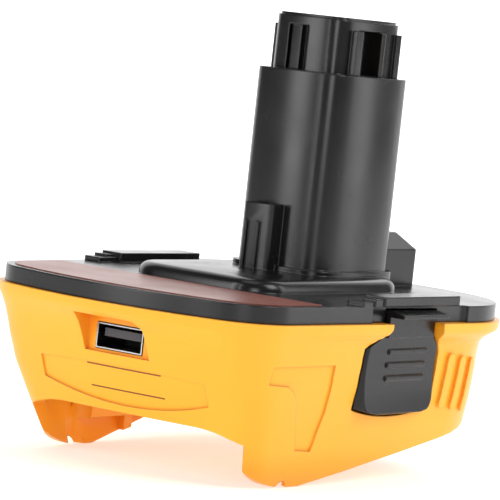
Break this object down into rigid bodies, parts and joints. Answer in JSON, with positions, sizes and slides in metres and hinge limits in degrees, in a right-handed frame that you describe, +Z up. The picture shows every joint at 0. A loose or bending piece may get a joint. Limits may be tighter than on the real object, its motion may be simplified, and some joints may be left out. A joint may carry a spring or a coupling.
{
  "type": "tool battery adapter",
  "caption": "Amber housing with a black stem cover that lets a slide-on battery pack power a stem-type cordless tool, with squeeze latches and a charging socket.",
  "frame": {"origin": "on the ground plane below the middle of the bounding box", "axes": "+Z up along the stem, front with the charging socket towards -Y, right latch towards +X"},
  "size_m": [0.0886, 0.1186, 0.1057],
  "materials": {
    "amber_abs": "moulded ABS, smooth satin gloss",
    "black_abs": "moulded ABS, soft gloss",
    "latch_abs": "moulded ABS, soft gloss",
    "label_film": "plain printed film",
    "nickel_shell": "nickel plated, bright",
    "socket_plastic": "moulded",
    "contact_brass": "stamped strip",
    "spring_steel": "drawn wire",
    "screw_steel": "zinc plated",
    "board_green": "solder mask",
    "component_black": "moulded",
    "block_black": "moulded nylon",
    "wire_red": "silicone insulation",
    "wire_black": "silicone insulation",
    "wire_yellow": "silicone insulation"
  },
  "bodies": {
    "body": {"lower_housing": "amber_abs", "top_cover": "black_abs", "terminal_head": "black_abs", "contact_positive": "contact_brass", "contact_negative": "contact_brass", "contact_sense": "contact_brass", "latch_spring_right": "spring_steel", "latch_spring_left": "spring_steel", "usb_shell": "nickel_shell", "usb_insert": "socket_plastic", "usb_contacts": "contact_brass", "circuit_board": "board_green", "inductor": "component_black", "capacitors": "component_black", "regulator": "component_black", "terminal_block": "block_black", "blade_positive": "contact_brass", "blade_negative": "contact_brass", "blade_sense": "contact_brass", "cover_screws": "screw_steel", "board_screws": "screw_steel", "wire_positive": "wire_red", "wire_negative": "wire_black", "wire_sense": "wire_yellow", "board_wires": "wire_red", "label_strip": "label_film"},
    "right_latch": {"latch_right": "latch_abs"},
    "left_latch": {"latch_left": "latch_abs"}
  },
  "joints": [
    {"name": "right_latch_press", "type": "slide", "parent": "body", "child": "right_latch", "axis": [-1, 0, 0], "range_m": [0, 0.004], "stiffness_N_per_m": 900, "springref_m": -0.003, "deforming": ["latch_spring_right"]},
    {"name": "left_latch_press", "type": "slide", "parent": "body", "child": "left_latch", "axis": [1, 0, 0], "range_m": [0, 0.004], "stiffness_N_per_m": 900, "springref_m": -0.003, "deforming": ["latch_spring_left"]}
  ]
}
